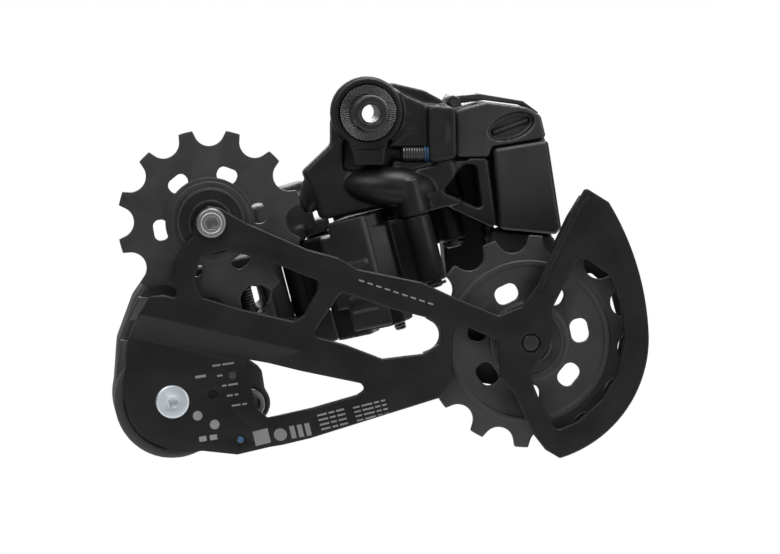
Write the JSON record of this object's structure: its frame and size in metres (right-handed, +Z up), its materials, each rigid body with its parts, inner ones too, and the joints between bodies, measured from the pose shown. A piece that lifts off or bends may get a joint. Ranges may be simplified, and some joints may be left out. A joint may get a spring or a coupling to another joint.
{
  "type": "rear bicycle derailleur",
  "caption": "Wireless electronic rear bicycle derailleur with a battery box, slanted parallelogram links, a sprung long cage and two toothed guide pulleys.",
  "frame": {"origin": "hanger bolt axis in the plane of the hanger face", "axes": "+X rearward on the bicycle, +Y outboard along the hanger bolt, +Z up; the cage is folded back on its stop and the links are at the outermost gear"},
  "size_m": [0.1436, 0.0646, 0.1024],
  "materials": {
    "cast_black": "satin",
    "cage_black": "satin",
    "housing_grey": "satin",
    "pulley_black": "satin",
    "dark_steel": "satin",
    "ring_steel": "satin",
    "zinc": "satin",
    "spring_steel": "polished",
    "bolt_black": "satin",
    "bushing_plastic": "matte",
    "battery_shell": "satin",
    "latch_plastic": "satin",
    "moulded_black": "satin",
    "button_rubber": "matte",
    "clear_lens": "gloss",
    "gold": "polished",
    "board_green": "gloss"
  },
  "bodies": {
    "b_knuckle": {"b_knuckle": "cast_black", "hanger_bushing": "bushing_plastic", "bolt_clip": "dark_steel", "inner_pin_b": "dark_steel", "outer_pin_b": "dark_steel", "pin_clips": "dark_steel", "battery_mount": "cast_black", "battery_contacts": "gold", "latch_pin": "dark_steel", "status_lens": "clear_lens"},
    "hanger_bolt": {"hanger_bolt": "bolt_black", "serrated_ring": "ring_steel"},
    "b_stop_plate": {"b_stop_plate": "cast_black"},
    "b_adjust_screw": {"b_adjust_screw": "dark_steel"},
    "battery": {"battery": "battery_shell"},
    "battery_latch": {"battery_latch": "latch_plastic"},
    "function_button": {"function_button": "button_rubber"},
    "inner_link": {"gearbox_housing": "cast_black", "gearbox_cover": "moulded_black", "drive_motor": "zinc", "reduction_axle": "dark_steel", "circuit_board": "board_green"},
    "high_limit_screw": {"high_limit_screw": "dark_steel"},
    "motor_pinion": {"motor_pinion": "gold"},
    "reduction_gear": {"reduction_gear": "dark_steel"},
    "outer_link": {"outer_link": "cast_black"},
    "p_knuckle": {"p_knuckle": "housing_grey", "inner_pin_p": "dark_steel", "outer_pin_p": "dark_steel", "front_seal": "button_rubber", "roller_clutch": "dark_steel", "cage_spring": "spring_steel", "lock_spring": "spring_steel", "clutch_cover": "moulded_black", "clutch_screws": "dark_steel"},
    "low_limit_screw": {"low_limit_screw": "dark_steel"},
    "cage_lock_button": {"cage_lock_button": "ring_steel"},
    "cage": {"inner_cage_plate": "cage_black", "outer_cage_plate": "cage_black", "cage_stop_pin": "dark_steel", "cage_stop_screw": "dark_steel", "cage_pivot_screw": "zinc", "cage_shaft": "dark_steel", "upper_sleeve": "dark_steel", "lower_sleeve": "dark_steel", "upper_shields": "moulded_black", "lower_shields": "moulded_black", "upper_pulley_bolt": "ring_steel", "lower_pulley_bolt": "bolt_black"},
    "upper_pulley": {"upper_pulley": "pulley_black", "upper_bearing": "spring_steel"},
    "lower_pulley": {"lower_pulley": "pulley_black", "lower_bearing": "spring_steel"}
  },
  "joints": [
    {"name": "hanger_bolt_turn", "type": "hinge", "parent": "b_knuckle", "child": "hanger_bolt", "pos_m": [0, 0, 0], "axis": [0, 1, 0], "continuous": true},
    {"name": "stop_plate_swing", "type": "hinge", "parent": "b_knuckle", "child": "b_stop_plate", "pos_m": [0, 0, 0], "axis": [0, 1, 0], "range_deg": [-3, 5]},
    {"name": "b_adjust_travel", "type": "slide", "parent": "b_knuckle", "child": "b_adjust_screw", "axis": [1, 0, 0], "range_m": [-0.003, 0.0015]},
    {"name": "battery_slide", "type": "slide", "parent": "b_knuckle", "child": "battery", "axis": [0.9866, 0, 0.1633], "range_m": [0, 0.02]},
    {"name": "battery_latch_hinge", "type": "hinge", "parent": "b_knuckle", "child": "battery_latch", "pos_m": [0.0246, 0.021, 0.0028], "axis": [0, 1, 0], "range_deg": [-75, 0]},
    {"name": "function_button_press", "type": "slide", "parent": "b_knuckle", "child": "function_button", "axis": [0, -1, 0], "range_m": [0, 0.0008], "stiffness_N_per_m": 800, "springref_m": -0.0004},
    {"name": "inner_link_swing", "type": "hinge", "parent": "b_knuckle", "child": "inner_link", "pos_m": [0.0145, 0.003, -0.032], "axis": [-0.2521, 0, 0.9677], "range_deg": [0, 60]},
    {"name": "outer_link_swing", "type": "hinge", "parent": "b_knuckle", "child": "outer_link", "pos_m": [0.0234, 0.016, -0.02968], "axis": [-0.2521, 0, 0.9677], "range_deg": [0, 60]},
    {"name": "p_knuckle_swing", "type": "hinge", "parent": "inner_link", "child": "p_knuckle", "pos_m": [-0.01902, 0.023, -0.04073], "axis": [-0.2521, 0, 0.9677], "range_deg": [-60, 0]},
    {"name": "reduction_gear_spin", "type": "hinge", "parent": "inner_link", "child": "reduction_gear", "pos_m": [-0.0063, 0.01056, -0.03742], "axis": [-0.2521, 0, 0.9677], "range_deg": [-240, 0]},
    {"name": "motor_pinion_spin", "type": "hinge", "parent": "inner_link", "child": "motor_pinion", "pos_m": [-0.00077, 0.00726, -0.03598], "axis": [-0.2521, 0, 0.9677], "range_deg": [0, 660]},
    {"name": "high_limit_travel", "type": "slide", "parent": "inner_link", "child": "high_limit_screw", "axis": [0.2521, 0, -0.9677], "range_m": [0, 0.001]},
    {"name": "low_limit_travel", "type": "slide", "parent": "p_knuckle", "child": "low_limit_screw", "axis": [0.2521, 0, -0.9677], "range_m": [-0.002, 0.002]},
    {"name": "cage_lock_press", "type": "slide", "parent": "p_knuckle", "child": "cage_lock_button", "axis": [0, 1, 0], "range_m": [0, 0.002], "stiffness_N_per_m": 900, "springref_m": -0.0005, "deforming": ["lock_spring"]},
    {"name": "cage_pivot", "type": "hinge", "parent": "p_knuckle", "child": "cage", "pos_m": [-0.0541, 0, -0.0772], "axis": [0, 1, 0], "range_deg": [0, 90], "stiffness_Nm_per_rad": 0.25, "springref_deg": -57.3},
    {"name": "upper_pulley_spin", "type": "hinge", "parent": "cage", "child": "upper_pulley", "pos_m": [-0.044, -0.0155, -0.0287], "axis": [0, 1, 0], "continuous": true},
    {"name": "lower_pulley_spin", "type": "hinge", "parent": "cage", "child": "lower_pulley", "pos_m": [0.0421, -0.0155, -0.0615], "axis": [0, 1, 0], "continuous": true}
  ],
  "couplings": [
    {"joint": "outer_link_swing", "follows": "inner_link_swing", "ratio": 1},
    {"joint": "p_knuckle_swing", "follows": "inner_link_swing", "ratio": -1},
    {"joint": "reduction_gear_spin", "follows": "inner_link_swing", "ratio": -4},
    {"joint": "motor_pinion_spin", "follows": "inner_link_swing", "ratio": 11}
  ]
}
